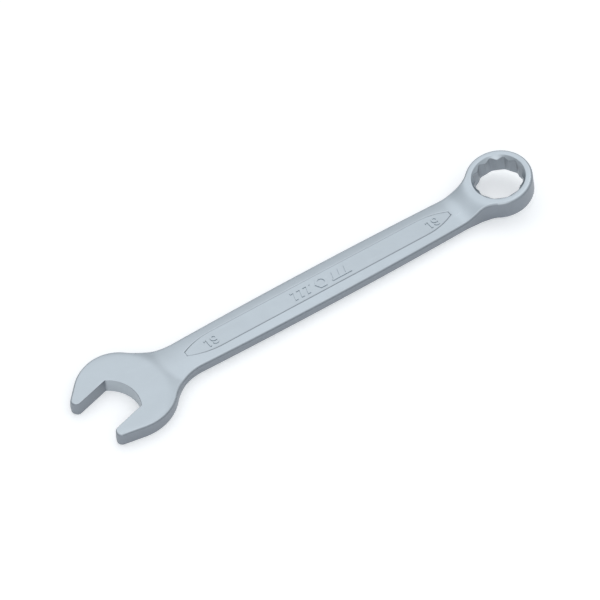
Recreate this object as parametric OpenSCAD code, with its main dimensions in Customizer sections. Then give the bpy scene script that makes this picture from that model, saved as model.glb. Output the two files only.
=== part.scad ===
// Combination wrench: fixed open end, crowned shank with a sunk panel on each face,
// and a raised, tilted twelve-point ring end. One forging, drawn as named regions that
// meet face to face. Millimetres. X runs along the shank towards the ring, Z is up.

/* [Open end] */
// Distance between the two jaw flats
jaw_gap = 19.15; // [17.15:0.05:19.3]
// Angle of the mouth to the shank, degrees
jaw_angle = 16; // [14:0.5:18]
// Radius of the round head behind the jaws
head_r = 20.7; // [20.3:0.1:21.5]
// Thickness of the head across its two flat faces
head_thick = 6.8; // [6.6:0.1:7.6]
// Radius of the curved throat between the flats
throat_r = 14.2; // [12:0.1:16]
// Depth of the throat, from the mouth's crossing with the shank line
throat_u = 5.5; // [4.5:0.1:7]
// Reach of the upper jaw's tip centre along the mouth
upper_reach = 23.5; // [22.5:0.1:24.5]
// Reach of the lower jaw's tip centre along the mouth
lower_reach = 23.4; // [22.5:0.1:24.5]
// Radius of the blunt jaw tips, in plan
tip_r = 2.4; // [2:0.1:2.8]
// Bevel of the head's outer rim
rim_cut = 0.7; // [0.4:0.1:1]

/* [Shank] */
// Distance from the mouth's crossing to the centre of the ring
centres = 180; // [170:0.5:190]
// Half width of the shank at its widest
shank_w = 9.35; // [9:0.05:9.8]
// Station along the shank where it is widest
wide_x = 94; // [85:1:100]
// Narrowing of each side from there towards both ends, degrees
taper = 0.78; // [0.6:0.02:0.9]
// Half thickness of the shank along its middle
shank_h = 2.95; // [2.7:0.05:3.1]
// Radius of the crown across the shank's faces
crown_r = 52; // [45:1:70]
// Lean of every side wall away from the middle plane, degrees
lean = 4; // [2:0.5:6]
// Radius of the neck's upper hollow, next to the head
upper_neck_r = 26; // [22:1:30]
// Radius of the neck's lower hollow, next to the head
lower_neck_r = 21; // [17:1:24]

/* [Panel] */
// Where the sunk panel's floor starts
panel_x0 = 22.2; // [21.5:0.1:24]
// Where the sunk panel's floor ends
panel_x1 = 153.2; // [150:0.1:154]
// Half width of the panel's floor
panel_w = 4.1; // [3.8:0.1:4.3]
// Depth of the panel's floor below the shank's middle
panel_d = 0.45; // [0.4:0.05:0.6]
// Width of the panel's sloping wall
panel_slope = 0.45; // [0.3:0.05:0.6]
// Height of the numerals and of the ornament above the panel's floor
mark_rise = 0.3; // [0.2:0.05:0.35]
// Height of the numerals, read along the shank
numeral_h = 4.6; // [4:0.1:5]

/* [Ring end] */
// Distance between opposite flats of the twelve-point socket
ring_af = 19.15; // [17.15:0.05:19.3]
// Outer radius of the ring
ring_r = 14.4; // [14:0.1:15.5]
// Thickness of the ring
ring_h = 10.4; // [10:0.1:12]
// Tilt of the ring out of the shank's plane, degrees
ring_tilt = 12; // [9:0.5:13]
// Rounding of the ring's outer rim
ring_rim = 1.3; // [0.8:0.1:1.6]
// Depth of the countersink at each mouth of the socket
sink = 2; // [1.2:0.1:2.2]
// Turn of the socket's points about the ring's axis, degrees
socket_turn = 11; // [0:1:29]
// Radius of the hollows where the shank widens into the ring
ring_neck_r = 12; // [9:1:15]

/* [Hidden] */
$fn = 144;

far = 60;
steel = [0.72, 0.75, 0.78];
mark_steel = [0.78, 0.81, 0.84];

function ray(a) = [cos(a), sin(a)];
function heading(p, q) = atan2(q[1] - p[1], q[0] - p[0]);
function flip(p) = [p[0], -p[1]];

// A hollow of radius `r` tangent to a straight side (from p, heading `d`, metal away from
// `n`) and to a round of radius `big` about c: how far along the side it touches
function touch(p, d, n, r, c, big) =
  let (q = p + r * n - c, e = q * d)
  -e - sqrt(e * e - q * q + pow(big + r, 2));

// Head, in plan: main round, a smaller round on its upper shoulder, and the face round
head_c = [-7, -1.5];
face_c = head_c - [3.5, 0];
shoulder_a = 104;
shoulder_r = 16;
shoulder_c = head_c + (head_r - shoulder_r) * ray(shoulder_a);
face_slope = 0.21;

// Mouth directions: u runs out of the mouth, v towards the upper jaw
function mouth(u, v) = u * ray(180 + jaw_angle) + v * ray(90 + jaw_angle);
tip_corner = 0.25;
upper_tip = mouth(upper_reach, jaw_gap / 2 + tip_r - tip_corner);
lower_tip = mouth(lower_reach, -jaw_gap / 2 - tip_r + tip_corner);
throat_corner = throat_u + throat_r - sqrt(pow(throat_r, 2) - pow(jaw_gap / 2, 2));

// Bearings, from the head's centre, of the straight sides tangent to it and to the jaw tips
function tip_swing(tip) = acos((head_r - tip_r) / norm(tip - head_c));
upper_bearing = heading(head_c, upper_tip) - tip_swing(upper_tip);
lower_bearing = heading(head_c, lower_tip) + 360 + tip_swing(lower_tip);

// The shank's sides run straight from the widest station to where the hollows touch them
ring_c = [centres, 0];
wide = [wide_x, shank_w];
to_head = ray(180 + taper);
to_ring = ray(-taper);
upper_touch = wide + to_head
  * touch(wide, to_head, ray(90 + taper), upper_neck_r, shoulder_c, shoulder_r);
lower_touch = wide + to_head
  * touch(wide, to_head, ray(90 + taper), lower_neck_r, flip(head_c), head_r);
ring_touch = wide + to_ring
  * touch(wide, to_ring, ray(90 - taper), ring_neck_r, ring_c, ring_r);
upper_neck_c = upper_touch + upper_neck_r * ray(90 + taper);
lower_neck_c = flip(lower_touch + lower_neck_r * ray(90 + taper));
ring_neck_c = ring_touch + ring_neck_r * ray(90 - taper);

// Stations along the shank where one region ends and the next begins
neck_cut = 14;
rail_x0 = max(lower_touch[0], upper_touch[0]) + 0.3;
rail_x1 = panel_x1 + 2.5;
ring_cut = ring_neck_c[0] + 2;

// Height of the ring's centre that rests its lower rim level with the head's lower face
ring_core_r = ring_r - ring_rim;
ring_core_h = ring_h / 2 - ring_rim;
ring_z = ring_core_r * sin(ring_tilt) + ring_core_h * cos(ring_tilt) + ring_rim - head_thick / 2;

// The part's box, for the frame: centred in X and Y, standing on Z = 0
box_x0 = upper_tip[0] - tip_r;
box_x1 = centres + ring_core_r * cos(ring_tilt) + ring_core_h * sin(ring_tilt) + ring_rim;
box_y0 = head_c[1] - head_r;
box_y1 = shoulder_c[1] + shoulder_r;
shift = [-(box_x0 + box_x1) / 2, -(box_y0 + box_y1) / 2, head_thick / 2];

// Panel outline, clockwise: long straight sides drawn in to short blunt tips
panel_tip = 0.9;
panel_z = shank_h - panel_d;
function panel_end(x, way) = [
  [x, panel_tip],
  [x + way * 4, 0.62 * panel_w],
  [x + way * 9, 0.9 * panel_w],
  [x + way * 15, panel_w]
];
function turned(list) = [for (i = [len(list) - 1:-1:0]) list[i]];
panel_upper = concat(panel_end(panel_x0, 1), turned(panel_end(panel_x1, -1)));
panel = concat(panel_upper, [for (p = turned(panel_upper)) flip(p)]);

// Side view of the ring's neck: a hollow rise, then straight up to the ring's face
rise_x = rail_x1 - 1;
rise_r = 16;
rise_a = 30;
rise_z = 1.8;
rise_end = [rise_x, rise_z + rise_r] + rise_r * ray(rise_a - 90);
ring_mid = [centres, ring_z];
face_mid = ring_mid + ring_h / 2 * ray(ring_tilt + 90);
under_mid = ring_mid - ring_h / 2 * ray(ring_tilt + 90);
rise_gap = face_mid - rise_end;
rise_top = face_mid - (rise_gap[1] * cos(rise_a) - rise_gap[0] * sin(rise_a))
  / sin(ring_tilt - rise_a) * ray(ring_tilt);
rest_core = ring_mid - ring_core_r * ray(ring_tilt) - ring_core_h * ray(ring_tilt + 90);

// Places of the marks along the shank
open_mark_x = 34;
ring_mark_x = 144.5;
nut_x = 87.5;
mark_gap = 1.9;

module in_frame() {
  translate(shift)
    children();
}

// The part of a solid that lies between two stations along the shank
module between(x0, x1) {
  intersection() {
    children();
    translate([x0, -far, -far])
      cube([x1 - x0, 2 * far, 2 * far]);
  }
}

// ---- Outline: a side wall carried round the plan, then filled ----

// Half section through a side wall, edge at x = 0: it leans in from the middle plane, and
// is bevelled where it reaches a face at height `half`
module wall(depth, half) {
  low = half - rim_cut;
  over = 1;
  polygon([
    [-depth, -half - over],
    [-low * tan(lean) - rim_cut - over, -half - over],
    [-low * tan(lean), -low],
    [0, 0],
    [-low * tan(lean), low],
    [-low * tan(lean) - rim_cut - over, half + over],
    [-depth, half + over]
  ]);
}

// A half section carried straight from p to q, with the open side on the left
module run(p, q) {
  translate([p[0], p[1], 0])
    rotate([0, 0, heading(p, q)])
      rotate([90, 0, 90])
        linear_extrude(norm(q - p))
          children();
}

// A half section carried round a centre that lies in the metal, between two bearings
module bulge(c, r, a0, a1) {
  translate([c[0], c[1], 0])
    rotate([0, 0, a0])
      rotate_extrude(angle = a1 - a0)
        intersection() {
          translate([r, 0])
            children();
          translate([0, -far])
            square([far, 2 * far]);
        }
}

// A half section carried round a centre that lies outside the metal, between two bearings
module hollow(c, r, a0, a1) {
  translate([c[0], c[1], 0])
    rotate([0, 0, a0])
      rotate_extrude(angle = a1 - a0)
        translate([r, 0])
          mirror([1, 0])
            children();
}

module upper_neck_side(depth) {
  hollow(upper_neck_c, upper_neck_r,
      heading(upper_neck_c, shoulder_c) + 360, heading(upper_neck_c, upper_touch) + 360)
    wall(depth, head_thick / 2);
}

module lower_neck_side(depth) {
  hollow(lower_neck_c, lower_neck_r,
      heading(lower_neck_c, flip(lower_touch)), heading(lower_neck_c, head_c))
    wall(depth, head_thick / 2);
}

// A short straight stretch of the shank's side, from where a hollow touches it
module short_side(start, along, length, half) {
  run(start, start + length * along)
    wall(shank_w - 1, half);
}

module ring_neck_side(half) {
  hollow(ring_neck_c, ring_neck_r,
      heading(ring_neck_c, ring_touch) + 360, heading(ring_neck_c, ring_c) + 360)
    wall(shank_w, half);
}

module head_outline() {
  half = head_thick / 2;
  for (tip = [upper_tip, lower_tip])
    bulge(tip, tip_r, 0, 360)
      wall(tip_r, half);
  run(upper_tip + tip_r * ray(upper_bearing), head_c + head_r * ray(upper_bearing))
    wall(8, half);
  run(head_c + head_r * ray(lower_bearing), lower_tip + tip_r * ray(lower_bearing))
    wall(8, half);
  bulge(head_c, head_r, shoulder_a, upper_bearing)
    wall(head_r, half);
  bulge(head_c, head_r, lower_bearing, heading(head_c, lower_neck_c) + 360)
    wall(head_r, half);
  bulge(shoulder_c, shoulder_r, heading(shoulder_c, upper_neck_c), shoulder_a)
    wall(shoulder_r, half);
}

// Metal between the side walls of the head, the necks and the shank
module core_outline() {
  reach = head_r - 3;
  translate([0, 0, -head_thick / 2 - 1])
    linear_extrude(head_thick + 2)
      polygon([
        upper_tip,
        head_c + reach * ray(upper_bearing),
        head_c + reach * ray(shoulder_a),
        shoulder_c + (shoulder_r - 3) * ray(heading(shoulder_c, upper_neck_c)),
        [upper_neck_c[0], 4],
        [rail_x1 + 5, 4],
        [rail_x1 + 5, -4],
        [lower_neck_c[0], -4],
        head_c + reach * ray(heading(head_c, lower_neck_c)),
        head_c + reach * ray(lower_bearing),
        lower_tip,
        mouth(lower_reach, 0),
        mouth(upper_reach, 0)
      ]);
}

// ---- Heights: the proud round face, and the crowned bar of the shank ----

module face_lens() {
  half = head_thick / 2;
  reach = 11;
  translate([face_c[0], face_c[1], 0])
    rotate_extrude()
      polygon([
        [0, -half],
        [head_r, -half],
        [head_r + reach, face_slope * reach - half],
        [head_r + reach, half - face_slope * reach],
        [head_r, half],
        [0, half]
      ]);
}

module crowned_bar() {
  translate([head_c[0], 0, 0])
    rotate([90, 0, 90])
      linear_extrude(centres - head_c[0])
        intersection() {
          translate([0, shank_h - crown_r])
            circle(crown_r, $fn = 8 * crown_r);
          translate([0, crown_r - shank_h])
            circle(crown_r, $fn = 8 * crown_r);
        }
}

// ---- Open end ----

// The mouth, drawn in its own directions (x out of the mouth, y towards the lower jaw)
module mouth_cut() {
  linear_extrude(far, center = true) {
    intersection() {
      translate([throat_u + throat_r, 0])
        circle(throat_r);
      square([2 * far, jaw_gap], center = true);
    }
    translate([throat_u + throat_r, -jaw_gap / 2])
      square([far, jaw_gap]);
  }
}

// Everything just beyond the throat's corners on the upper (side = -1) or lower (side = 1) jaw
module jaw_zone(side) {
  rotate([0, 0, 180 + jaw_angle])
    translate([throat_corner + 0.6, side < 0 ? -far : 0, -far])
      cube([far, far, 2 * far]);
}

module open_end() {
  difference() {
    intersection() {
      union() {
        head_outline();
        upper_neck_side(shank_w);
        lower_neck_side(shank_w);
        short_side(upper_touch, -to_head, 9, head_thick / 2);
        mirror([0, 1, 0])
          short_side(lower_touch, -to_head, 5, head_thick / 2);
        core_outline();
      }
      union() {
        face_lens();
        crowned_bar();
      }
    }
    rotate([0, 0, 180 + jaw_angle])
      mouth_cut();
  }
}

module upper_jaw() {
  color(steel)
    in_frame()
      intersection() {
        open_end();
        jaw_zone(-1);
      }
}

module lower_jaw() {
  color(steel)
    in_frame()
      intersection() {
        open_end();
        jaw_zone(1);
      }
}

module throat() {
  color(steel)
    in_frame()
      difference() {
        between(-far, neck_cut)
          open_end();
        jaw_zone(-1);
        jaw_zone(1);
      }
}

module open_neck() {
  color(steel)
    in_frame()
      difference() {
        between(neck_cut, rail_x0)
          open_end();
        slot();
      }
}

// ---- Shank and panels ----

// The sunk space over one panel, with sloping walls all round
module recess() {
  rise = 4;
  dip = 0.5;
  reach = 2 * far;
  intersection_for (i = [0:len(panel) - 1])
    let (p = panel[i], q = panel[(i + 1) % len(panel)])
      run(p - 4 * far * ray(heading(p, q)), q + 4 * far * ray(heading(p, q)))
        polygon([
          [-reach, panel_z - dip * panel_d],
          [-dip * panel_slope, panel_z - dip * panel_d],
          [rise * panel_slope, panel_z + rise * panel_d],
          [-reach, panel_z + rise * panel_d]
        ]);
}

// Space kept for the web, and the two recesses over it
module slot() {
  linear_extrude(far, center = true)
    polygon(panel);
  recess();
  mirror([0, 0, 1])
    recess();
}

module web() {
  color(steel)
    in_frame()
      translate([0, 0, -panel_z])
        linear_extrude(2 * panel_z)
          polygon(panel);
}

// The metal beside the panels, on the side of the upper jaw
module rail() {
  reach = 2 * far;
  difference() {
    intersection() {
      crowned_bar();
      run(wide + reach * to_head, wide - reach * to_head)
        wall(far, head_thick / 2);
      run(wide - reach * to_ring, wide + reach * to_ring)
        wall(far, head_thick / 2);
      translate([rail_x0, 0, -far])
        cube([rail_x1 - rail_x0, far, 2 * far]);
    }
    slot();
  }
}

module left_rail() {
  color(steel)
    in_frame()
      rail();
}

module right_rail() {
  color(steel)
    in_frame()
      mirror([0, 1, 0])
        rail();
}

// ---- Ring end ----

module in_ring() {
  translate([ring_mid[0], 0, ring_mid[1]])
    rotate([0, -ring_tilt, 0])
      children();
}

// Side view of the widening into the ring, rising to the ring's two faces
module rise_side() {
  difference() {
    polygon([
      [rise_x, rise_z],
      rise_end,
      rise_top,
      face_mid,
      under_mid,
      rest_core - ring_rim * ray(ring_tilt + 90),
      rest_core - [0, ring_rim],
      [rise_x, -rise_z]
    ]);
    translate([rise_x, rise_z + rise_r])
      circle(rise_r);
  }
}

module ring_root() {
  half = ring_h + 4;
  touch = ring_c + (ring_r - 4) * ray(heading(ring_c, ring_neck_c));
  intersection() {
    union() {
      for (s = [0, 1])
        mirror([0, s, 0]) {
          ring_neck_side(half);
          short_side(ring_touch - 9 * to_ring, to_ring, 9, half);
        }
      translate([0, 0, -half])
        linear_extrude(2 * half)
          polygon([
            [rail_x1 - 5, 4],
            [ring_neck_c[0], 4],
            touch,
            ring_c,
            flip(touch),
            [ring_neck_c[0], -4],
            [rail_x1 - 5, -4]
          ]);
    }
    union() {
      rotate([90, 0, 0])
        linear_extrude(2 * far, center = true)
          rise_side();
      crowned_bar();
    }
  }
}

module sink_cone() {
  translate([0, 0, ring_h / 2 - sink])
    cylinder(h = 2 * sink, r1 = ring_af / 2, r2 = ring_af / 2 + 2 * sink);
}

// Twelve-point socket: two hexagons, their points eased, with a countersink at each mouth
module socket() {
  linear_extrude(2 * far, center = true)
    intersection() {
      for (a = [0, 30])
        rotate([0, 0, a + socket_turn])
          circle(r = ring_af / sqrt(3), $fn = 6);
      circle(ring_af / sqrt(3) - 0.2);
    }
  sink_cone();
  mirror([0, 0, 1])
    sink_cone();
}

// Section through the ring's wall, edge at x = 0, with both outer rims rounded
module ring_wall(depth) {
  half = ring_h / 2;
  translate([-depth, -half])
    square([depth - ring_rim, 2 * half]);
  translate([-depth, ring_rim - half])
    square([depth, 2 * (half - ring_rim)]);
  for (s = [-1, 1])
    translate([-ring_rim, s * (half - ring_rim)])
      circle(ring_rim);
}

module ring_end() {
  difference() {
    union() {
      ring_root();
      in_ring()
        bulge([0, 0], ring_r, 0, 360)
          ring_wall(ring_r);
    }
    in_ring()
      socket();
  }
}

module ring_neck() {
  color(steel)
    in_frame()
      between(rail_x1, ring_cut)
        ring_end();
}

module ring() {
  color(steel)
    in_frame()
      between(ring_cut, centres + far)
        ring_end();
}

// ---- Raised marks on the panels' floors: the size at each end and a plain ornament ----

// Numeral one, standing on its baseline with its stem's left side at x = 0
module one_shape() {
  polygon([[0, 0], [0.8, 0], [0.8, 4.6], [0.1, 4.6], [-1, 3.75], [-1, 2.95], [0, 3.6]]);
}

// Numeral nine, from a bowl, a straight back and a hooked foot
module nine_shape() {
  bowl = 1.5;
  stroke = 0.75;
  translate([bowl, 4.6 - bowl])
    difference() {
      circle(bowl);
      circle(bowl - stroke);
    }
  translate([2 * bowl - stroke, bowl])
    square([stroke, 4.6 - 2 * bowl]);
  translate([bowl, bowl])
    difference() {
      circle(bowl);
      circle(bowl - stroke);
      translate([-bowl, 0])
        square([2 * bowl, bowl]);
      polygon([[0, 0], [-2 * bowl, bowl], [-2 * bowl, -0.6 * bowl]]);
    }
}

// Hexagon nut in outline
module nut_shape() {
  difference() {
    circle(r = 3, $fn = 6);
    circle(1.7);
  }
}

// Three slanted bars on a base line
module bars_shape() {
  polygon([[4.6, -2.2], [14.2, -2.2], [14.2, -1.5], [4.6, -1.5]]);
  for (i = [0:2])
    translate([5.1 + 3.1 * i, -1.8])
      polygon([[0, 0], [1.4, 0], [2.7, 4], [1.3, 4]]);
}

// A shape raised on the upper (face = 0) or lower (face = 180) panel floor
module raised(face) {
  color(mark_steel)
    in_frame()
      rotate([face, 0, 0])
        translate([0, 0, panel_z])
          linear_extrude(mark_rise)
            children();
}

// A numeral centred across the panel, its left side at a station
module numeral(face, x) {
  raised(face)
    translate([x, -numeral_h / 2])
      scale(numeral_h / 4.6)
        children();
}

module ornament(face) {
  raised(face)
    translate([nut_x, 0])
      children();
}

module top_open_one() {
  numeral(0, open_mark_x - mark_gap)
    one_shape();
}

module top_open_nine() {
  numeral(0, open_mark_x)
    nine_shape();
}

module top_ring_one() {
  numeral(0, ring_mark_x - mark_gap)
    one_shape();
}

module top_ring_nine() {
  numeral(0, ring_mark_x)
    nine_shape();
}

module top_nut() {
  ornament(0)
    nut_shape();
}

module top_bars_open() {
  ornament(0)
    rotate(180)
      bars_shape();
}

module top_bars_ring() {
  ornament(0)
    bars_shape();
}

module base_open_one() {
  numeral(180, open_mark_x - mark_gap)
    one_shape();
}

module base_open_nine() {
  numeral(180, open_mark_x)
    nine_shape();
}

module base_ring_one() {
  numeral(180, ring_mark_x - mark_gap)
    one_shape();
}

module base_ring_nine() {
  numeral(180, ring_mark_x)
    nine_shape();
}

module base_nut() {
  ornament(180)
    nut_shape();
}

module base_bars_open() {
  ornament(180)
    rotate(180)
      bars_shape();
}

module base_bars_ring() {
  ornament(180)
    bars_shape();
}

upper_jaw();
lower_jaw();
throat();
open_neck();
web();
left_rail();
right_rail();
ring_neck();
ring();
top_open_one();
top_open_nine();
top_ring_one();
top_ring_nine();
top_nut();
top_bars_open();
top_bars_ring();
base_open_one();
base_open_nine();
base_ring_one();
base_ring_nine();
base_nut();
base_bars_open();
base_bars_ring();
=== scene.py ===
"""Looks of the combination wrench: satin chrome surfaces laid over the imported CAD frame."""

from math import acos, atan2, cos, degrees, pi, radians, sin, tan
from types import SimpleNamespace

import bpy
import numpy as np
from bpy.props import FloatProperty, FloatVectorProperty, PointerProperty
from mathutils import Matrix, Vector


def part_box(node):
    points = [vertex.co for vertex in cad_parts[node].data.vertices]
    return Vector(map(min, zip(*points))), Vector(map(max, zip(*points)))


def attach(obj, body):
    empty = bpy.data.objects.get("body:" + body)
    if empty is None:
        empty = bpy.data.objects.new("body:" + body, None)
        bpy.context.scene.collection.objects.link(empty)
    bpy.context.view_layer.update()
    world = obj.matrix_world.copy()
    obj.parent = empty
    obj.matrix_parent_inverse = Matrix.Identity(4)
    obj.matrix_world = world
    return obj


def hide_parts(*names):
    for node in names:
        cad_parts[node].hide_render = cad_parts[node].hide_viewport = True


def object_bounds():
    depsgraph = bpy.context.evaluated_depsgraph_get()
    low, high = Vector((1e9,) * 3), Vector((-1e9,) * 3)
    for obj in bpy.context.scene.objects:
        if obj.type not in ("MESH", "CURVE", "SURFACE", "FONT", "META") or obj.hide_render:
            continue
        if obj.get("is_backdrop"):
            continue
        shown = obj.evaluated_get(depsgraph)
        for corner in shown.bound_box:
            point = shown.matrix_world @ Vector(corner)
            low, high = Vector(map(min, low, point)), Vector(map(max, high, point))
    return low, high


bl_info = {
    "name": "Combination wrench",
    "version": (1, 0, 0),
    "blender": (4, 5, 0),
    "location": "View3D > Sidebar > Wrench",
    "description": "Draws the surfaces of a forged combination wrench over its CAD frame",
    "category": "Object",
}

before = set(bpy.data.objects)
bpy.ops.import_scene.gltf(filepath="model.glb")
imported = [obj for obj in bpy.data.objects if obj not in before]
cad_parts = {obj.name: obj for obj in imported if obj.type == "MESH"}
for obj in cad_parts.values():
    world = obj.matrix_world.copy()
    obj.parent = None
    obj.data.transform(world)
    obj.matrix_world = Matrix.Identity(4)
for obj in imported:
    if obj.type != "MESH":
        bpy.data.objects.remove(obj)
MM = 0.001

# Stations along the wrench, in millimetres from the mouth's crossing point
WALL_THINS = 16.0  # the side walls have come down to the shank's thickness
NECK_START = 14.0  # border of the head and the open neck
SHANK_START = 24.6  # border of the open neck and the shank
RISE_START = 155.7  # border of the shank and the neck of the ring
WIDEST = 94.0  # the shank's widest place
HUB_R = 12.9  # the neck ends this near the ring's centre, inside its metal
BLEND_R = 25.6  # the faces start to rise this far from the ring's centre

# Outline of the head
HEAD_CENTRE = (-7.0, -1.5)
LENS_CENTRE = (-10.5, -1.5)  # the head's flat faces are round this point
UPPER_SHOULDER_R = 16.0
UPPER_TURN = 104.0  # bearing where the upper outline leaves the head's circle
LOWER_TURN = 70.0
LEAVE_X = {1: 8.0, -1: 7.0}  # where the strips round the throat end, by side
TIP_SPAN = 3.2  # length of a blunt tip along each outline

SHANK_HALF_WALL = 2.4  # height of the shank's side wall above the middle plane
FLOOR_ROWS, SLOPE_ROWS, RAIL_ROWS = 9, 6, 15  # lines across a panel, its wall, a rail


def distance(label, value, low, high, note):
    """A length given in millimetres, kept in metres and shown in the sidebar."""
    return FloatProperty(
        name=label,
        default=value * MM,
        min=low * MM,
        max=high * MM,
        precision=5,
        subtype="DISTANCE",
        unit="LENGTH",
        description=note,
    )


def angle(label, value, low, high, note):
    """An angle given in degrees, kept in radians and shown in the sidebar."""
    return FloatProperty(
        name=label,
        default=radians(value),
        min=radians(low),
        max=radians(high),
        subtype="ANGLE",
        unit="ROTATION",
        description=note,
    )


def tint(label, value, note):
    """A colour, shown in the sidebar."""
    return FloatVectorProperty(
        name=label, default=value, min=0, max=1, size=3, subtype="COLOR", description=note
    )


class WrenchSizes(bpy.types.PropertyGroup):
    """Sizes of the wrench, the colour of its finish and the colour of its painted shade."""

    gap: distance("Jaw gap", 19.15, 17, 21, "Distance between the jaw flats")
    mouth_angle: angle("Mouth angle", 16, 10, 20, "Turn of the mouth")
    head_r: distance("Head radius", 20.7, 20, 22, "Radius of the round head")
    head_half: distance("Half head", 3.4, 3, 4, "Half thickness of the head")
    throat_r: distance("Throat radius", 14.2, 12, 16, "Radius of the throat")
    throat_u: distance("Throat depth", 5.5, 4, 7, "Throat, from the mouth's crossing point")
    upper_reach: distance("Upper reach", 23.5, 22, 25, "Reach of the upper tip")
    lower_reach: distance("Lower reach", 23.4, 22, 25, "Reach of the lower tip")
    tip_r: distance("Tip radius", 2.35, 2, 3, "Radius of the jaw tips")
    edge: distance("Head rim", 0.95, 0.4, 1.5, "Rounding of the head's rim")
    shank_edge: distance("Shank rim", 1.15, 0.4, 1.5, "Rounding of the shank's rim")
    mouth_edge: distance("Mouth edge", 0.28, 0.1, 0.5, "Eased edge of the mouth")
    lean: angle("Lean", 4, 2, 6, "Lean of the side walls")
    upper_neck_r: distance("Upper hollow", 26, 20, 32, "Hollow above the open neck")
    lower_neck_r: distance("Lower hollow", 21, 16, 26, "Hollow below the open neck")
    shank_w: distance("Half width", 9.4, 9, 10, "Half width of the shank")
    shank_h: distance("Half height", 2.95, 2.6, 3.2, "Half height of the shank")
    crown_r: distance("Crown", 52, 40, 80, "Radius across the shank's faces")
    side_bow: distance("Side bow", 2400, 1500, 4000, "Radius of the long sides")
    panel_x0: distance("Panel start", 22.2, 21, 24, "Where the panel's floor starts")
    panel_x1: distance("Panel end", 153.2, 150, 156, "Where the panel's floor ends")
    panel_w: distance("Panel", 4.1, 3.5, 4.5, "Half width of the panel's floor")
    panel_z: distance("Panel floor", 2.5, 2.2, 2.7, "Height of the panel's floor")
    panel_slope: distance("Panel wall", 0.45, 0.3, 0.7, "Width of the panel's wall")
    centres: distance("Centres", 180, 170, 190, "Mouth's crossing point to ring centre")
    ring_r: distance("Ring radius", 14.4, 14, 15, "Outer radius of the ring")
    ring_h: distance("Ring height", 10.4, 10, 12, "Thickness of the ring")
    ring_tilt: angle("Ring tilt", 12, 8, 15, "Tilt of the ring")
    ring_rim: distance("Ring rim", 1.3, 0.8, 1.6, "Rounding of the ring's rim")
    ring_neck_r: distance("Ring hollow", 12, 9, 15, "Hollow into the ring")
    sink: distance("Countersink", 2, 1, 2.4, "Depth of the countersink")
    socket_turn: angle("Socket turn", 11, 0, 29, "Turn of the points")
    face_tint: tint("Faces", (0.490, 0.540, 0.578), "Satin chrome")
    # painted shade: the side walls, the ring's outer wall, the bore and the panel's wall
    # lines get this darker colour in place of their shading
    painted_shade_tint: tint("Flanks", (0.245, 0.272, 0.305), "Duller satin of the side walls")


def working_sizes(group):
    """The same sizes in the units of the formulas below: millimetres and degrees."""
    values = {}
    for key in WrenchSizes.__annotations__:
        value = getattr(group, key)
        subtype = group.bl_rna.properties[key].subtype
        if subtype == "DISTANCE":
            value = value / MM
        elif subtype == "ANGLE":
            value = degrees(value)
        values[key] = value
    return SimpleNamespace(**values)


def ray(a):
    """Unit vectors at bearings a, in degrees."""
    a = np.radians(np.asarray(a, float))
    return np.stack([np.cos(a), np.sin(a)], -1)


def bearing(p, q):
    """Bearing of q from p, in degrees from 0 to 360."""
    return degrees(atan2(q[1] - p[1], q[0] - p[0])) % 360


def crossing(c1, r1, c2, r2, side):
    """Where two circles cross, to the left (side 1) or right (side -1) of c1 to c2."""
    d = np.linalg.norm(c2 - c1)
    along = (r1 * r1 - r2 * r2 + d * d) / (2 * d)
    a = bearing(c1, c2)
    return c1 + along * ray(a) + side * (r1 * r1 - along * along) ** 0.5 * ray(a + 90)


def ease(t):
    """Smooth step from 0 to 1."""
    t = np.clip(t, 0, 1)
    return t * t * (3 - 2 * t)


class Path:
    """A smooth plan curve of arcs and straights, with its outward normals."""

    def __init__(self):
        self.points, self.normals = [], []

    def arc(self, c, r, a0, a1, out=1):
        """An arc about c between two bearings; out is -1 where c lies outside the metal."""
        a = np.linspace(a0, a1, max(8, int(abs(a1 - a0) * r / 6)))
        self.points.append(c + r * ray(a))
        self.normals.append(out * ray(a))

    def straight(self, p, q, normal):
        """A straight stretch between two points."""
        t = np.linspace(0, 1, 60)[:, None]
        self.points.append(p + t * (q - p))
        self.normals.append(normal + 0 * t)

    def done(self):
        """Joins the stretches and measures the length along them."""
        self.points = np.concatenate(self.points)
        self.normals = np.concatenate(self.normals)
        step = np.linalg.norm(np.diff(self.points, axis=0), axis=1)
        self.length = np.concatenate([[0], np.cumsum(step)])
        keep = np.concatenate([[True], step > 1e-6])
        self.points, self.normals = self.points[keep], self.normals[keep]
        self.length = self.length[keep]
        return self

    def at(self, length):
        """Points and normals at given lengths."""
        pick = [np.interp(length, self.length, v) for v in (*self.points.T, *self.normals.T)]
        n = np.stack(pick[2:], -1)
        return np.stack(pick[:2], -1), n / np.linalg.norm(n, axis=-1, keepdims=True)

    def nearest(self, point):
        """Length at the point of the curve nearest to a given point."""
        return self.length[np.argmin(np.linalg.norm(self.points - point, axis=1))]


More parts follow.
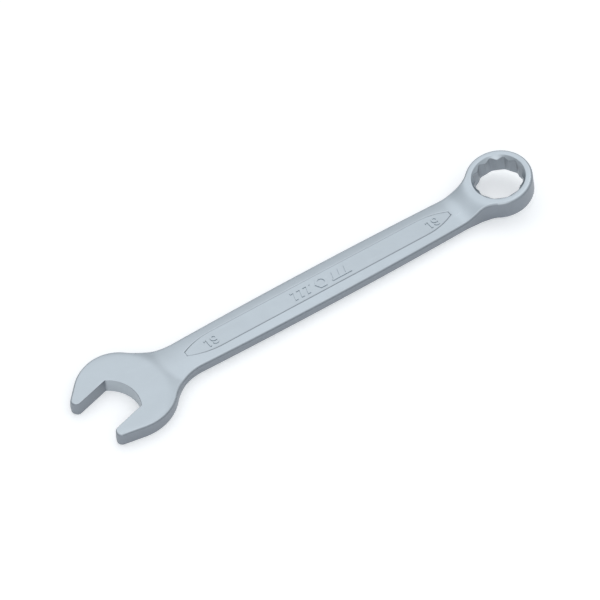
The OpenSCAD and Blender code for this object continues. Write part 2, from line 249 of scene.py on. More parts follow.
class Half:
    """Outline of one side of the wrench, as if it were the side of the upper jaw. Outside
    it runs from the blunt tip over a tangent to the head's circle, the shoulder, the hollow
    of the neck, the long bow of the shank and the hollow into the ring, every arc tangent
    to the next. Inside it runs from the tip over the jaw flat to the round throat."""

    def __init__(self, s, side):
        self.side = side
        turn = s.mouth_angle * side
        self.head = np.array([HEAD_CENTRE[0], HEAD_CENTRE[1] * side])
        reach = s.upper_reach if side > 0 else s.lower_reach
        hollow_r = s.upper_neck_r if side > 0 else s.lower_neck_r
        u, v = ray(180 + turn), ray(90 + turn)
        gap = s.gap / 2
        tip = reach * u + (gap + s.tip_r) * v
        swing = degrees(acos((s.head_r - s.tip_r) / np.linalg.norm(tip - self.head)))
        top = bearing(self.head, tip) - swing
        flat = 270 + turn
        apex = (top + flat) / 2
        shoulder_r = UPPER_SHOULDER_R if side > 0 else s.head_r
        shoulder = self.head + (s.head_r - shoulder_r) * ray(UPPER_TURN)
        bow = np.array([WIDEST, s.shank_w - s.side_bow])
        neck = crossing(bow, s.side_bow + hollow_r, shoulder, shoulder_r + hollow_r, -1)
        ring = np.array([s.centres, 0.0])
        foot = crossing(bow, s.side_bow + s.ring_neck_r, ring, s.ring_r + s.ring_neck_r, 1)
        outer = Path()
        outer.arc(tip, s.tip_r, apex, top)
        outer.straight(tip + s.tip_r * ray(top), self.head + s.head_r * ray(top), ray(top))
        turn_at = UPPER_TURN if side > 0 else LOWER_TURN
        outer.arc(self.head, s.head_r, top, turn_at)
        outer.arc(shoulder, shoulder_r, turn_at, bearing(shoulder, neck))
        outer.arc(neck, hollow_r, bearing(neck, shoulder), bearing(neck, bow), -1)
        outer.arc(bow, s.side_bow, bearing(bow, neck), bearing(bow, foot))
        outer.arc(foot, s.ring_neck_r, bearing(foot, bow), bearing(foot, ring), -1)
        self.outer = outer.done()
        corner_u = s.throat_u + s.throat_r - (s.throat_r**2 - gap**2) ** 0.5
        middle = (s.throat_u + s.throat_r) * u
        self.corner = corner_u * u + gap * v
        spread = degrees(acos((s.throat_u + s.throat_r - corner_u) / s.throat_r))
        inner = Path()
        inner.arc(tip, s.tip_r, apex, flat)
        inner.straight(reach * u + gap * v, self.corner, ray(flat))
        inner.arc(middle, s.throat_r, turn + spread, turn, -1)
        self.inner = inner.done()


class Body:
    """Heights of the head, the shank and the neck of the ring, above the middle plane."""

    def __init__(self, s):
        self.s = s
        self.tilt = radians(s.ring_tilt)
        core_r, core_h = s.ring_r - s.ring_rim, s.ring_h / 2 - s.ring_rim
        lift = core_r * sin(self.tilt) + core_h * cos(self.tilt) + s.ring_rim
        self.ring_z = lift - s.head_half
        self.axis = np.array([-sin(self.tilt), 0, cos(self.tilt)])
        self.middle = np.array([s.centres, 0, self.ring_z])
        self.face = self.middle + s.ring_h / 2 * self.axis

    def panel_half(self, x):
        """Half width of the panel's floor at x: full in the middle, and drawn in along a
        power curve to a blunt end over the last stretch."""
        s = self.s
        blunt, stretch = 0.22, 15.0
        end = np.clip(np.minimum(x - s.panel_x0, s.panel_x1 - x) / stretch, 0, 1)
        return s.panel_w * (blunt + (1 - blunt) * (1 - (1 - end) ** 2.2))

    def height(self, x, y, face):
        """Height of the upper (face 1) or lower (face -1) surface from the middle plane:
        the soft maximum of the crowned shank and the head's lens, eased into the plane of
        the ring's face, with the panel sunk into it."""
        s = self.s
        crown = s.shank_h - y * y / (2 * s.crown_r)
        past = np.hypot(x - LENS_CENTRE[0], y - LENS_CENTRE[1]) - s.head_r
        soft, fall, early = 0.7, 0.21, 1.2
        lens = s.head_half - fall * soft * np.logaddexp(0, (past + early) / soft)
        blend = 0.12
        base = blend * np.logaddexp(crown / blend, lens / blend)
        clear, climb, settle = 0.003, 12.0, 10.0
        if face > 0:
            away = np.hypot(x - self.face[0], y)
            plane = self.face[2] + (x - self.face[0]) * tan(self.tilt) - clear
            w = ease((BLEND_R - away) / climb)
        else:
            away = np.hypot(x - s.centres, y)
            rise = (x - s.centres) * tan(self.tilt) - s.ring_h / 2 / cos(self.tilt)
            plane = np.minimum(s.head_half - 0.02, -clear - self.ring_z - rise)
            w = ease((BLEND_R - away) / settle)
        base = base + w * (plane - base)
        slope = s.panel_slope
        across = ease((self.panel_half(x) + slope - np.abs(y)) / slope)
        along = np.minimum(x - s.panel_x0, s.panel_x1 - x) / slope + 1
        return base + across * ease(along) * (s.panel_z - base)

    def normal(self, x, y, face):
        """Outward normal of that surface, from its slopes."""
        d = 0.02
        dx = (self.height(x + d, y, face) - self.height(x - d, y, face)) / (2 * d)
        dy = (self.height(x, y + d, face) - self.height(x, y - d, face)) / (2 * d)
        n = np.stack([-dx, -dy, np.ones_like(x)], -1)
        n[..., 2] *= face
        return n / np.linalg.norm(n, axis=-1, keepdims=True)


def wall(body, start, foot_xy, out, edge, face, side, shear=0.0, tone=1.0):
    """Rounded rim and leaning side wall: a quarter round from the plan points start out
    towards foot_xy, then a straight lean to the middle plane. Shear slides and dips them
    with the tilt of the ring, and tone says how much painted shade the wall gets; the top
    of the round also gets a painted highlight. Rows run along the outline."""
    lean = tan(radians(body.s.lean))
    x, y = start[:, 0], start[:, 1] * side
    flat = 0 * x
    top = body.height(x, y, face)
    n_top = body.normal(x, y, face)
    n_out = np.stack([out[:, 0], out[:, 1] * side, flat], -1)
    run = np.linalg.norm(foot_xy - start, axis=1)
    foot = top - edge
    drift = np.minimum(lean * foot, np.maximum(run - edge, 0))
    turn = run - drift
    dip = shear * out[:, 0] * turn
    rows, normals, tones = [], [], []
    for a in np.linspace(0, 90, 9)[1:]:
        up, over = cos(radians(a)), sin(radians(a))
        p = start + out * (turn * over)[:, None]
        z = face * (top - edge * (1 - up)) + dip * over
        rows.append(np.stack([p[:, 0], p[:, 1] * side, z], -1))
        n = over * n_out + up * n_top
        normals.append(n / np.linalg.norm(n, axis=-1, keepdims=True))
        # painted highlight at the top of the round, then painted shade growing down to the
        # wall
        painted_shade_share, painted_highlight_share = tone * ease((a - 20) / 42), ease(1 - abs(a - 17) / 17)
        tones.append(np.stack([painted_shade_share + flat, painted_highlight_share + flat], -1))
    for t in (0.33, 0.67, 1.0):
        p = start + out * (turn + drift * t)[:, None]
        rows.append(np.stack([p[:, 0], p[:, 1] * side, (face * foot + dip) * (1 - t)], -1))
        n = n_out + np.array([0, 0, face * lean * (1 - t)])
        normals.append(n / np.linalg.norm(n, axis=-1, keepdims=True))
        # the straight wall gets the full painted shade
        tones.append(np.stack([tone + flat, flat], -1))
    rows = np.stack(rows, 1)
    rows[..., 0] -= (rows[..., 2] - (face * top)[:, None]) * np.reshape(shear, (-1, 1))
    return rows, np.stack(normals, 1), np.stack(tones, 1)


def surface(body, p, face, side):
    """A patch of the upper or lower surface over plan points p (rows, columns, 2): its
    points, its normals and its painted shade and painted highlight, both 0."""
    x, y = p[..., 0], p[..., 1] * side
    z = face * body.height(x, y, face)
    return np.stack([x, y, z], -1), body.normal(x, y, face), np.zeros((*x.shape, 2))


def chain(parts):
    """Joins patches side by side."""
    return tuple(np.concatenate(group, 1) for group in zip(*parts))


def flipped(patch):
    """The same patch with its columns the other way round."""
    return tuple(a[:, ::-1] for a in patch)


def inset(points, out, edge, depth):
    """Plan points set in from the outline by the rounding and the wall's drift."""
    return points - out * (edge + depth)[:, None]


class Jaw:
    """Strip from a jaw's tip to the bottom of the throat: a closed section (mouth wall,
    face, outer wall, lower face) carried along the mouth's and the head's outlines."""

    def __init__(self, s, body, side):
        self.half = half = Half(s, side)
        inner, outer = half.inner, half.outer
        corner = inner.nearest(half.corner)
        heading = bearing(half.head, half.corner)
        abreast = outer.nearest(half.head + s.head_r * ray(heading))
        far_side = outer.points[:, 1] > HEAD_CENTRE[1] + s.head_r / 2
        gap = np.abs(outer.points[:, 0] - LEAVE_X[side])
        self.leave = outer.length[np.argmin(np.where(far_side, gap, np.inf))]
        tip_rows, flat_rows, throat_rows = 16, 47, 55
        t = np.concatenate([
            TIP_SPAN * (1 - np.cos(np.linspace(0, pi / 2, tip_rows))),
            np.linspace(TIP_SPAN, corner, flat_rows + 1)[1:],
            np.linspace(corner, inner.length[-1], throat_rows + 1)[1:],
        ])
        self.corner_row = tip_rows + flat_rows - 1
        self.last_row = len(t) - 1
        keys_in = [0, TIP_SPAN, corner, inner.length[-1]]
        keys_out = [0, TIP_SPAN, abreast, self.leave]
        p_in, n_in = inner.at(t)
        p_out, n_out = outer.at(np.interp(t, keys_in, keys_out))
        edge_out = np.full(len(t), s.edge)
        deep = np.full(len(t), tan(radians(s.lean)) * (s.head_half - s.edge))
        fade = ease(t / TIP_SPAN)
        edge_in = s.mouth_edge * fade + s.edge * (1 - fade)
        # painted shade: the mouth's wall along the jaw flats gets the full painted shade, the
        # throat's round wall much less, so it shows much brighter than the jaw flats
        mouth_wall_shade = 1 - 0.72 * ease((t - corner + 0.3) / 1.2)
        a = inset(p_in, n_in, edge_in, deep * (1 - fade))
        e = inset(p_out, n_out, edge_out, deep)
        span = np.linspace(0, 1, 26)
        span = span - 0.04 * np.sin(2 * pi * span)
        p = a[:, None] + (e - a)[:, None] * span[None, :, None]
        sheets = []
        for face in (1, -1):
            mouth = wall(body, a, p_in, n_in, edge_in, face, side, tone=mouth_wall_shade)
            rim = wall(body, e, p_out, n_out, edge_out, face, side)
            sheets.append(chain([flipped(mouth), surface(body, p, face, side), rim]))
        upper, lower = sheets
        self.loop = chain([upper, tuple(v[:, 1:-1] for v in flipped(lower))])
        self.start = a[-1]


def stations(s):
    """Stations along the shank, close together where the panel starts and ends."""
    fine = np.array([-0.6, -0.45, -0.34, -0.22, -0.11, 0, 0.3, 0.8, 1.4, 2.1])
    return np.unique(np.concatenate([
        np.linspace(NECK_START, s.panel_x0 - 1.2, 10),
        s.panel_x0 + fine,
        [SHANK_START],
        np.linspace(SHANK_START + 0.9, s.panel_x1 - 3.2, 84),
        s.panel_x1 - fine,
        [RISE_START],
    ]))


def fan(s, c, e, t, swirl):
    """Plan points from the centre line c out to the rim e. Near the ring (swirl 1) they
    lie on arcs about the ring's centre in place of straight lines."""
    ring = np.array([s.centres, 0.0])
    straight = c[:, None] + (e - c)[:, None] * t[..., None]
    r_c, r_e = np.linalg.norm(c - ring, axis=1), np.linalg.norm(e - ring, axis=1)
    a_e = np.arctan2(e[:, 1], e[:, 0] - s.centres)
    r = r_c[:, None] + (r_e - r_c)[:, None] * t
    a = pi + (a_e - pi)[:, None] * t
    polar = ring + np.stack([r * np.cos(a), r * np.sin(a)], -1)
    return straight + swirl[:, None, None] * (polar - straight)


def paint_panel_light(top, in_panel, side):
    """Paints light on the panel's wall: a painted highlight on the left side, and a line of
    painted shade over the wall and the floor's edge on the right.
    """
    painted_shade_share, painted_highlight_share = top[2][..., 0], top[2][..., 1]
    crease = FLOOR_ROWS - 1
    if side > 0:
        # painted highlight along the left wall of the panel
        painted_highlight_share[in_panel, crease + 3 : crease + SLOPE_ROWS] = 0.5
    else:
        # painted shade along the right wall of the panel and the floor's edge beside it
        painted_shade_share[in_panel, crease : crease + SLOPE_ROWS] = (0.3, 0.8, 0.9, 0.9, 0.9, 0.5)


def shank_grid(s, body, jaws):
    """Closed sections (upper face with its sunk panel, side wall, lower face, side wall)
    carried from the throat along the shank and round into the ring's wall. Gives the whole
    grid, its four sheets (left upper, left lower, right upper, right lower) and the rows
    where pieces meet."""
    main = stations(s)
    lead = np.linspace(0, 1, 16)[:-1]
    tail = np.linspace(0, 1, 34)[1:]
    rise = np.concatenate([0 * lead, 0 * main, tail])
    throat_x, throat_y = jaws[0].start
    last_x = s.centres - HUB_R
    x_in = np.concatenate([
        throat_x + (NECK_START - throat_x) * lead,
        main,
        RISE_START + (last_x - RISE_START) * tail,
    ])
    y_in = np.concatenate([throat_y * (1 - ease(lead)), 0 * main, 0 * tail])
    swirl, joined, tilted = ease(rise * 1.2), ease(rise * 1.15), ease(rise)
    shear = tan(body.tilt) * tilted
    stretch = tilted * (1 / cos(body.tilt) - 1)
    settled = len(lead) + 8
    edge = np.full(len(x_in), s.shank_edge)
    edge[:settled] = np.linspace(s.edge, s.shank_edge, settled)
    edge = edge + (s.ring_rim - edge) * joined
    wall_half = np.interp(x_in, (throat_x, WALL_THINS), (s.head_half, SHANK_HALF_WALL))
    deep = tan(radians(s.lean)) * (wall_half - edge) * (1 - joined)
    floor_half = body.panel_half(x_in)[:, None]
    floor = floor_half * np.linspace(0, 1, FLOOR_ROWS)
    slope = floor_half + s.panel_slope * np.linspace(0, 1, SLOPE_ROWS)[1:]
    in_panel = (x_in > s.panel_x0 - 0.5) & (x_in < s.panel_x1 + 0.5)
    sheets = []
    for jaw in jaws:
        side, outer = jaw.half.side, jaw.half.outer
        ahead = outer.length > jaw.leave - 1e-6
        xs, lengths = outer.points[ahead, 0], outer.length[ahead]
        neck, ring = np.interp((NECK_START, RISE_START), xs, lengths)
        p_out, n_out = outer.at(np.concatenate([
            jaw.leave + (neck - jaw.leave) * lead,
            np.interp(main, xs, lengths),
            ring + (outer.length[-1] - ring) * tail,
        ]))
        e = inset(p_out, n_out, edge, deep)
        c = np.stack([x_in, y_in * side], -1)
        reach = np.linalg.norm(e - c, axis=1)[:, None]
        rail = slope[:, -1:] + (reach - slope[:, -1:]) * np.linspace(0, 1, RAIL_ROWS)[1:]
        t = np.concatenate([floor, slope, rail], 1) / reach
        for face in (1, -1):
            z = face * body.height(e[:, 0], e[:, 1] * side, face)
            slid = (z - body.ring_z) * shear
            rim_xy, out_xy = e.copy(), p_out.copy()
            rim_xy[:, 0] += stretch * (e[:, 0] - s.centres) - slid
            out_xy[:, 0] += stretch * (p_out[:, 0] - s.centres) - slid
            top = surface(body, fan(s, c, rim_xy, t, swirl), face, side)
            paint_panel_light(top, in_panel, side)
            rim = wall(body, rim_xy, out_xy, n_out, edge, face, side, shear)
            sheets.append(chain([top, rim]))
    left_up, left_low, right_up, right_low = sheets
    loop = chain([
        flipped(left_up),
        tuple(v[:, 1:] for v in right_up),
        tuple(v[:, :-1] for v in flipped(right_low)),
        tuple(v[:, 1:-1] for v in left_low),
    ])
    starts = {"neck": NECK_START, "shank": SHANK_START, "rise": RISE_START}
    rows = {name: int(np.argmin(np.abs(x_in - x))) for name, x in starts.items()}
    return loop, sheets, rows


def place(name, points, faces, tones):
    """A smooth mesh from points in metres, with the painted shade and the painted highlight
    of each vertex as two attributes, and its object at the origin."""
    mesh = bpy.data.meshes.new(name)
    mesh.from_pydata(points, [], faces)
    for key, value in zip(("painted_shade", "rim"), tones.T):
        attribute = mesh.attributes.new(key, "FLOAT", "POINT")
        attribute.data.foreach_set("value", np.ascontiguousarray(value, np.float32))
    mesh.polygons.foreach_set("use_smooth", np.ones(len(mesh.polygons), bool))
    mesh.update()
    ob = bpy.data.objects.new(name, mesh)
    bpy.context.scene.collection.objects.link(ob)
    return ob


class Shell:
    """Collects closed shells and turns them into one mesh with smooth shading."""

    def __init__(self):
        self.points, self.normals, self.tones, self.faces = [], [], [], []
        self.count = 0

    def add(self, loop, turned=False):
        """A closed shell from a grid whose columns go once round each section, with a fan
        of triangles over its first and last sections."""
        points, normals, tones = loop
        rows, cols = points.shape[:2]
        i = np.arange(rows - 1)[:, None] * cols
        j = np.arange(cols)[None]
        k = (j + 1) % cols
        quads = np.stack([i + j, i + k, i + cols + k, i + cols + j], -1).reshape(-1, 4)
        hub = rows * cols
        first, last = np.arange(cols), (rows - 1) * cols + np.arange(cols)
        near = np.stack([np.roll(first, -1), first, np.full(cols, hub)], -1)
        far = np.stack([np.full(cols, hub + 1), last, np.roll(last, -1)], -1)
        for faces in (quads, near, far):
            faces = faces[:, ::-1] if turned else faces
            self.faces += (faces + self.count).tolist()
        ahead = points[-1].mean(0) - points[0].mean(0)
        self.points += [points.reshape(-1, 3), points[[0, -1]].mean(1)]
        self.normals += [normals.reshape(-1, 3), np.stack([-ahead, ahead])]
        self.tones += [tones.reshape(-1, 2), np.array([[1.0, 0.0], [1.0, 0.0]])]
        self.count += hub + 2

    def build(self, name, shift):
        """The finished object, with the normals of its formulas."""
        points = (np.concatenate(self.points) + shift) * MM
        ob = place(name, points, self.faces, np.concatenate(self.tones))
        n = np.concatenate(self.normals)
        n = n / np.maximum(np.linalg.norm(n, axis=1, keepdims=True), 1e-9)
        ob.data.normals_split_custom_set_from_vertices(n.tolist())
        return ob


def cut(loop, first, last):
    """Rows first to last of a grid."""
    return tuple(v[first : last + 1] for v in loop)


class Wrench:
    """Everything the operators share: sizes, grids and the shift into the frame."""

    def __init__(self, s):
        self.s = s
        self.body = Body(s)
        self.jaws = [Jaw(s, self.body, 1), Jaw(s, self.body, -1)]
        self.loop, self.sheets, self.row = shank_grid(s, self.body, self.jaws)
        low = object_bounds()[0]
        ring_low, ring_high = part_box("ring")
        core = (s.ring_r - s.ring_rim) * cos(self.body.tilt)
        reach = core + (s.ring_h / 2 - s.ring_rim) * sin(self.body.tilt) + s.ring_rim
        self.shift = np.array([
            ring_high.x / MM - s.centres - reach,
            low.y / MM - HEAD_CENTRE[1] + s.head_r,
            ring_low.z / MM + s.head_half,
        ])


def bore_radius(s, turn):
    """Radius of the socket at given bearings: the farther side of two hexagons turned 30
    degrees from each other, with its corners blunted."""
    flat = s.gap / 2
    off = np.stack([(turn - s.socket_turn - k) % 60 - 30 for k in (0, 30)])
    return np.minimum((flat / np.cos(np.radians(off))).max(0), 2 * flat / 3**0.5 - 0.2)


def ring_section(s, bore):
    """Radii and heights of the ring's section at every bearing, from the middle of the
    outer wall over the rim, the face, the countersink and down the bore to the middle;
    then the same mirrored, which closes it."""
    half, core = s.ring_h / 2, s.ring_r - s.ring_rim
    core_h, mouth = half - s.ring_rim, s.gap / 2 + s.sink
    section = [(s.ring_r, h) for h in np.linspace(0, core_h, 5)[:-1]]
    for a in np.radians(np.linspace(0, 90, 10)):
        section.append((core + s.ring_rim * cos(a), core_h + s.ring_rim * sin(a)))
    # the flat face ends in an eased lip round the countersink
    section += [(mouth + 0.9, half), (mouth + 0.18, half), (mouth + 0.05, half - 0.03)]
    sunk = mouth - bore
    section += [(mouth - sunk * t, half - sunk * t) for t in np.linspace(0.04, 1, 6)]
    section += [(bore, (half - sunk) * (1 - t)) for t in (0.02, 0.35, 0.7, 1.0)]
    radii = np.stack([r + 0 * bore for r, _ in section], 1)
    heights = np.stack([h + 0 * bore for _, h in section], 1)
    radii = np.concatenate([radii, radii[:, -2:0:-1]], 1)
    heights = np.concatenate([heights, -heights[:, -2:0:-1]], 1)
    return radii, heights, (half - sunk)[:, None]


def finish_piece(ob, *nodes):
    """Gives a piece its finish and its place in the frame."""
    ob.data.materials.append(satin_chrome())
    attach(ob, "root")
    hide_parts(*nodes)


class Sock:
    """A shader value with arithmetic, so that formulas read as formulas."""

    def __init__(self, tree, socket):
        self.tree, self.socket = tree, socket

    def maths(self, operation, other, swap=False):
        """One Math node."""
        node = self.tree.nodes.new("ShaderNodeMath")
        node.operation = operation
        for slot, value in zip(node.inputs, (other, self) if swap else (self, other)):
            if isinstance(value, Sock):
                self.tree.links.new(value.socket, slot)
            else:
                slot.default_value = value
        return Sock(self.tree, node.outputs[0])

    def __add__(self, other):
        return self.maths("ADD", other)

    __radd__ = __add__

    def __mul__(self, other):
        return self.maths("MULTIPLY", other)

    __rmul__ = __mul__

    def __sub__(self, other):
        return self.maths("SUBTRACT", other)

    def __rsub__(self, other):
        return self.maths("SUBTRACT", other, swap=True)

    def clamp(self):
        """Held between 0 and 1."""
        return self.maths("MINIMUM", 1.0).maths("MAXIMUM", 0.0)


class Graph:
    """The node tree of a material or a world, built one node at a time."""

    def __init__(self, owner):
        owner.use_nodes = True
        self.tree = owner.node_tree
        self.tree.nodes.clear()

    def node(self, kind, settings=None, inputs=None):
        """A node of any type, with its settings and inputs."""
        node = self.tree.nodes.new(kind)
        for key, value in (settings or {}).items():
            setattr(node, key, value)
        for key, value in (inputs or {}).items():
            if isinstance(value, Sock):
                value = value.socket
            if isinstance(value, bpy.types.NodeSocket):
                self.tree.links.new(value, node.inputs[key])
            else:
                node.inputs[key].default_value = value
        return node

    def value(self, node, output):
        """An output of a node, ready for arithmetic."""
        return Sock(self.tree, node.outputs[output])

    def attribute(self, name):
        """A vertex attribute of the piece, 0 where the piece has none."""
        return self.value(self.node("ShaderNodeAttribute", {"attribute_name": name}), "Fac")

    def noise(self, place, scale, detail=2.0, rough=0.5):
        """Fractal noise over a place, from 0 to 1."""
        inputs = {"Vector": place, "Scale": scale, "Detail": detail, "Roughness": rough}
        return self.value(self.node("ShaderNodeTexNoise", inputs=inputs), "Fac")

    def mix(self, share, a, b):
        """A colour between a and b."""
        inputs = {0: share, 6: a, 7: b}
        return self.node("ShaderNodeMix", {"data_type": "RGBA"}, inputs).outputs[2]


def satin_chrome():
    """Bead-blasted chrome: a fine even grain, faint cloudiness, painted shade on the flanks,
    painted highlights on the rims and a few long hairlines. Made once and shared by every
    piece."""
    name = "blasted_chrome"
    if name in bpy.data.materials:
        return bpy.data.materials[name]
    material = bpy.data.materials.new(name)
    group = bpy.context.scene.wrench_sizes
    g = Graph(material)
    place = g.node("ShaderNodeTexCoord").outputs["Object"]
    painted_shade, rim = g.attribute("painted_shade"), g.attribute("rim")
    cloud = g.noise(place, 55.0, 3.0)
    patch = g.noise(place, 210.0, 2.0)
    grain = g.noise(place, 5200.0, 2.0, 0.6)
    pits = g.noise(place, 1500.0, 3.0, 0.7)
    along = {"Vector": place, "Scale": (90.0, 1400.0, 1400.0), "Rotation": (0, 0, 0.5)}
    drawn_out = g.node("ShaderNodeMapping", inputs=along).outputs[0]
    hairline = ((g.noise(drawn_out, 1.0, 1.0) - 0.66) * 9.0).clamp()
    # painted shade: where the painted shade attribute is set, the face colour gives way to
    # the darker colour that stands in for the walls' shading
    base = g.mix(painted_shade, (*group.face_tint, 1), (*group.painted_shade_tint, 1))
    tone = (cloud - 0.5) * 0.10 + (patch - 0.5) * 0.05 + (grain - 0.5) * 0.10 + 0.5
    light = g.mix(tone.clamp(), base, (1.0, 1.0, 1.0, 1))
    dark = g.mix((1.0 - tone).clamp(), base, (0.05, 0.06, 0.07, 1))
    mottled = g.mix((tone - 0.5) * 1.6 + 0.10, base, g.mix(0.5, light, dark))
    # painted highlight: along the rims the colour is mixed towards a pale grey-white
    colour = g.mix(rim * 0.35, mottled, (0.80, 0.84, 0.87, 1))
    rough = 0.36 + (cloud - 0.5) * 0.10 + (patch - 0.5) * 0.06 + painted_shade * 0.06
    relief = grain * 0.7 + pits * 0.3 - hairline * 0.25
    fine = {"Strength": 0.30, "Distance": 0.00002, "Height": relief}
    fine_bump = g.node("ShaderNodeBump", inputs=fine).outputs[0]
    broad = {"Strength": 0.18, "Distance": 0.0003, "Height": patch, "Normal": fine_bump}
    steel = {
        "Base Color": colour,
        "Metallic": 1.0,
        "Roughness": rough - rim * 0.06 - hairline * 0.08,
        "Normal": g.node("ShaderNodeBump", inputs=broad).outputs[0],
    }
    shader = g.node("ShaderNodeBsdfPrincipled", inputs=steel)
    g.node("ShaderNodeOutputMaterial", inputs={"Surface": shader.outputs[0]})
    return material


SHARED = {}


def wrench():
    """The shared grids, made on first use."""
    if "made" not in SHARED:
        SHARED["made"] = Wrench(working_sizes(bpy.context.scene.wrench_sizes))
    return SHARED["made"]


def draw(node, *parts):
    """One piece that replaces a CAD node, from closed grids, each with its turn."""
    shell = Shell()
    for grid, turned in parts:
        shell.add(grid, turned)
    finish_piece(shell.build("satin_" + node, wrench().shift), node)


class WRENCH_OT_jaws(bpy.types.Operator):
    """Draws both jaws: closed sections carried from each blunt tip to the throat's corner"""

    bl_idname = "wrench.jaws"
    bl_label = "Jaws"

    def execute(self, context):
        for jaw, name in zip(wrench().jaws, ("upper_jaw", "lower_jaw")):
            draw(name, (cut(jaw.loop, 0, jaw.corner_row), jaw.half.side > 0))
        return {"FINISHED"}


class WRENCH_OT_throat(bpy.types.Operator):
    """Draws the round of the head: the two strips round the throat and the fan of
    sections that leads from the throat's bottom into the neck"""

    bl_idname = "wrench.throat"
    bl_label = "Throat"

    def execute(self, context):
        w = wrench()
        strips = [
            (cut(jaw.loop, jaw.corner_row, jaw.last_row), jaw.half.side > 0) for jaw in w.jaws
        ]
        draw("throat", *strips, (cut(w.loop, 0, w.row["neck"]), False))
        return {"FINISHED"}


class WRENCH_OT_necks(bpy.types.Operator):
    """Draws the neck behind the head and the neck that rises into the ring"""

    bl_idname = "wrench.necks"
    bl_label = "Necks"

    def execute(self, context):
        w = wrench()
        last = len(w.loop[0]) - 1
        draw("open_neck", (cut(w.loop, w.row["neck"], w.row["shank"]), False))
        draw("ring_neck", (cut(w.loop, w.row["rise"], last), False))
        return {"FINISHED"}


class WRENCH_OT_shank(bpy.types.Operator):
    """Draws the shank: the web under the sunk panels, and a rounded rail on each side"""

    bl_idname = "wrench.shank"
    bl_label = "Shank"

    def execute(self, context):
        w = wrench()
        sheets = [cut(sheet, w.row["shank"], w.row["rise"]) for sheet in w.sheets]
        left_up, left_low, right_up, right_low = sheets
        n = FLOOR_ROWS
        web = chain([
            flipped(tuple(v[:, :n] for v in left_up)),
            tuple(v[:, 1:n] for v in right_up),
            flipped(tuple(v[:, :n] for v in right_low)),
            tuple(v[:, 1:n] for v in left_low),
        ])
        left = chain([
            flipped(tuple(v[:, n - 1 :] for v in left_up)),
            tuple(v[:, n - 1 : -1] for v in left_low),
        ])
        right = chain([
            tuple(v[:, n - 1 :] for v in right_up),
            flipped(tuple(v[:, n - 1 : -1] for v in right_low)),
        ])
        for name, part in (("web", web), ("left_rail", left), ("right_rail", right)):
            draw(name, (part, False))
        return {"FINISHED"}


class WRENCH_OT_ring(bpy.types.Operator):
    """Draws the ring: a section with rounded rims turned about the tilted axis, its bore
    following the union of two hexagons, with a countersink at each mouth"""

    bl_idname = "wrench.ring"
    bl_label = "Ring"

    def execute(self, context):
        w = wrench()
        s, body = w.s, w.body
        columns = 576
        turn = np.arange(columns) * 360 / columns + s.socket_turn
        r, h, bore_top = ring_section(s, bore_radius(s, turn))
        phi = np.radians(turn)[:, None]
        across = np.array([cos(body.tilt), 0, sin(body.tilt)])
        points = body.middle + (r * np.cos(phi))[..., None] * across
        points[..., 1] += r * np.sin(phi)
        points += h[..., None] * body.axis
        rows, cols = r.shape
        i = np.arange(rows)[:, None] * cols
        after = (np.arange(rows)[:, None] + 1) % rows * cols
        j = np.arange(cols)[None]
        k = (j + 1) % cols
        quads = np.stack([i + j, after + j, after + k, i + k], -1).reshape(-1, 4)
        core = s.ring_r - s.ring_rim
        # painted shade on the ring's outer wall, from part way round the rounded rim down
        outside = ease((r - (core + s.ring_rim * 0.6)) / (s.ring_rim * 0.4))
        # painted shade in the bore: its walls are painted darker, while the countersink keeps
        # the face's colour
        in_bore = (np.abs(h) <= bore_top + 0.001) & (r < core - 0.5)
        painted_shade_share = np.maximum(outside, np.where(in_bore, 0.75, 0.0))
        # painted highlight along the rounded rim, near the face
        painted_highlight_share = ease(1 - np.abs(r - core - s.ring_rim * 0.35) / (s.ring_rim * 0.35))
        tones = np.stack([painted_shade_share.reshape(-1), painted_highlight_share.reshape(-1)], -1)
        points = (points.reshape(-1, 3) + w.shift) * MM
        ob = place("satin_ring", points, quads.tolist(), tones)
        ob.data.set_sharp_from_angle(angle=radians(24))
        finish_piece(ob, "ring")
        return {"FINISHED"}


class WRENCH_OT_marks(bpy.types.Operator):
    """Gives the raised numerals and ornament the satin finish and softened edges"""

    bl_idname = "wrench.marks"
    bl_label = "Marks"

    def execute(self, context):
        for name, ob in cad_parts.items():
            if name.startswith(("top_", "base_")):
                ob.data.materials.clear()
                ob.data.materials.append(satin_chrome())
                bevel = ob.modifiers.new("soft_edge", "BEVEL")
                bevel.width = 0.00012
                bevel.segments = 2
                bevel.limit_method = "ANGLE"
                bevel.angle_limit = radians(35)
        return {"FINISHED"}


def white_floor():
    """A plain white floor just under the wrench."""
    material = bpy.data.materials.new("floor_white")
    g = Graph(material)
    paint = {
        "Base Color": (0.9, 0.9, 0.9, 1),
        "Roughness": 0.9,
        "Emission Color": (1.0, 1.0, 1.0, 1),
        "Emission Strength": 0.30,
    }
    shader = g.node("ShaderNodeBsdfPrincipled", inputs=paint)
    g.node("ShaderNodeOutputMaterial", inputs={"Surface": shader.outputs[0]})
    mesh = bpy.data.meshes.new("floor")
    w = 3.0
    mesh.from_pydata([(-w, -w, 0), (w, -w, 0), (w, w, 0), (-w, w, 0)], [], [(0, 1, 2, 3)])
    mesh.materials.append(material)
    floor = bpy.data.objects.new("floor", mesh)
    floor.location.z = -0.05 * MM
    return floor


def pale_room():
    """A pale surrounding that brightens from the horizon upwards."""
    world = bpy.data.worlds.new("studio")
    g = Graph(world)
    split = g.node(
        "ShaderNodeSeparateXYZ", inputs={0: g.node("ShaderNodeTexCoord").outputs["Generated"]}
    )
    strength = 0.35 + g.value(split, "Z").clamp() * 0.68
    air = {"Color": (0.92, 0.96, 1.0, 1), "Strength": strength}
    back = g.node("ShaderNodeBackground", inputs=air)
    g.node("ShaderNodeOutputWorld", inputs={"Surface": back.outputs[0]})
    return world


def soft_light(name, spot, width, watts):
    """A square area light that looks at the middle of the wrench."""
    data = bpy.data.lights.new(name, "AREA")
    data.shape, data.size, data.energy = "SQUARE", width, watts
    light = bpy.data.objects.new(name, data)
    light.location = spot
    light.rotation_euler = (-Vector(spot)).to_track_quat("-Z", "Y").to_euler()
    return light


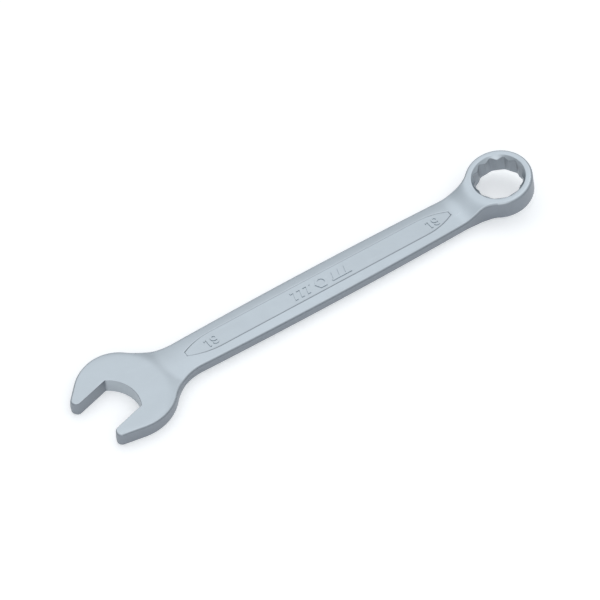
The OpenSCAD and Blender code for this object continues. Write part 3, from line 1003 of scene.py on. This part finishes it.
def long_lens():
    """The camera: a long lens, turned to the left of the wrench and half way up."""
    turn, rise, away = radians(-35.15), radians(49.58), 0.874
    target = Vector((-0.00898, -0.00233, 0.0074))
    back = Vector((sin(turn) * cos(rise), -cos(turn) * cos(rise), sin(rise)))
    data = bpy.data.cameras.new("camera")
    data.sensor_width, data.lens = 36.0, 130.17
    camera = bpy.data.objects.new("camera", data)
    camera.location = target + away * back
    camera.rotation_euler = (-back).to_track_quat("-Z", "Y").to_euler()
    return camera


class WRENCH_OT_stage(bpy.types.Operator):
    """Sets the white floor, the soft lights and the camera"""

    bl_idname = "wrench.stage"
    bl_label = "Stage"

    def execute(self, context):
        scene = context.scene
        lights = (
            soft_light("overhead", (0.3, 0.5, 1.0), 1.0, 1.2),
            soft_light("key", (-0.70, -1.0, 0.62), 0.8, 2.0),
        )
        for ob in (white_floor(), *lights):
            scene.collection.objects.link(ob)
            ob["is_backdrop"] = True
        scene.world = pale_room()
        scene.camera = long_lens()
        scene.collection.objects.link(scene.camera)
        scene.view_settings.view_transform = "Standard"
        return {"FINISHED"}


STEPS = ("jaws", "throat", "necks", "shank", "ring", "marks", "stage")


class WRENCH_PT_panel(bpy.types.Panel):
    """Sidebar panel with the sizes and one button for each step"""

    bl_idname = "WRENCH_PT_panel"
    bl_label = "Combination wrench"
    bl_space_type = "VIEW_3D"
    bl_region_type = "UI"
    bl_category = "Wrench"

    def draw(self, context):
        for key in WrenchSizes.__annotations__:
            self.layout.prop(context.scene.wrench_sizes, key)
        for step in STEPS:
            self.layout.operator("wrench." + step)


CLASSES = (
    WrenchSizes,
    WRENCH_OT_jaws,
    WRENCH_OT_throat,
    WRENCH_OT_necks,
    WRENCH_OT_shank,
    WRENCH_OT_ring,
    WRENCH_OT_marks,
    WRENCH_OT_stage,
    WRENCH_PT_panel,
)


def register():
    for cls in CLASSES:
        bpy.utils.register_class(cls)
    bpy.types.Scene.wrench_sizes = PointerProperty(type=WrenchSizes)


def unregister():
    del bpy.types.Scene.wrench_sizes
    for cls in reversed(CLASSES):
        bpy.utils.unregister_class(cls)


def main():
    """Builds every piece in order."""
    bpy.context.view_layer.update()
    register()
    for step in STEPS:
        result = getattr(bpy.ops.wrench, step)()
        if result != {"FINISHED"}:
            raise RuntimeError("step failed: " + step)
    bpy.context.view_layer.update()


if __name__ == "__main__":
    main()
